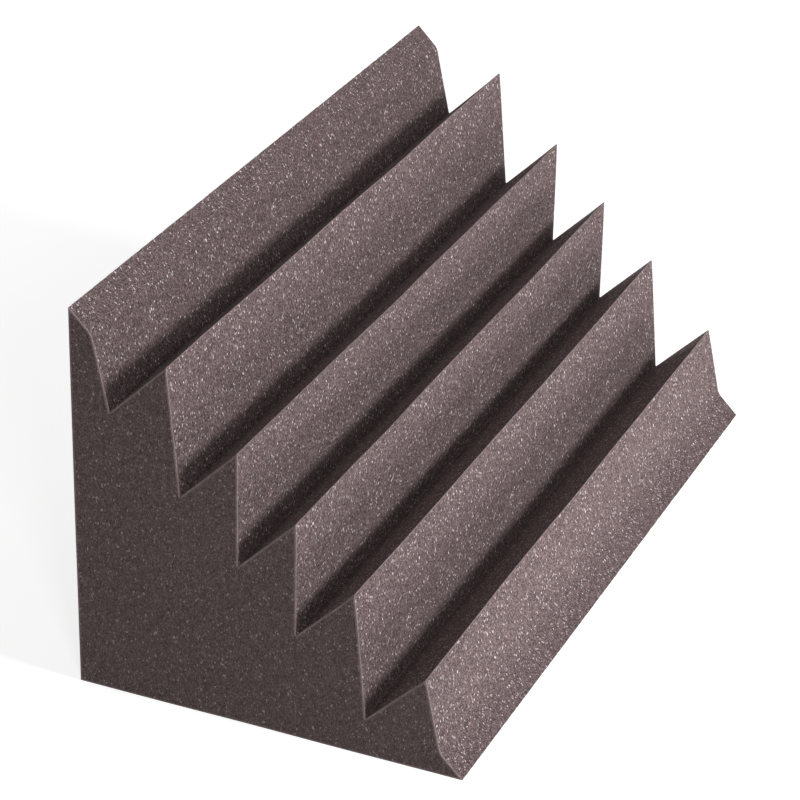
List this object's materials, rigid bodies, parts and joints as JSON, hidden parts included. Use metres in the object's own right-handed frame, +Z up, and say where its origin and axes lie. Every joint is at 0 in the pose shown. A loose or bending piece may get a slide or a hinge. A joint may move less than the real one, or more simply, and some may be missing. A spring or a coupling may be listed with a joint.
{
  "type": "corner bass trap",
  "caption": "Foam wedge that fits into a room corner to soak up low-frequency sound, with sharp ridges and valleys cut along its room side.",
  "frame": {"origin": "middle of the bottom wall face, the one that the block rests on", "axes": "+Z up, away from the bottom wall face; +Y along the length; +X from the heel edge towards the toe, so the upright wall face looks to -X"},
  "size_m": [0.3048, 0.6096, 0.3048],
  "materials": {
    "foam": "matt open-cell foam, warm charcoal grey, with fine pale specks where cut cells catch the light"
  },
  "bodies": {
    "root": {"foam_block": "foam"}
  },
  "joints": []
}
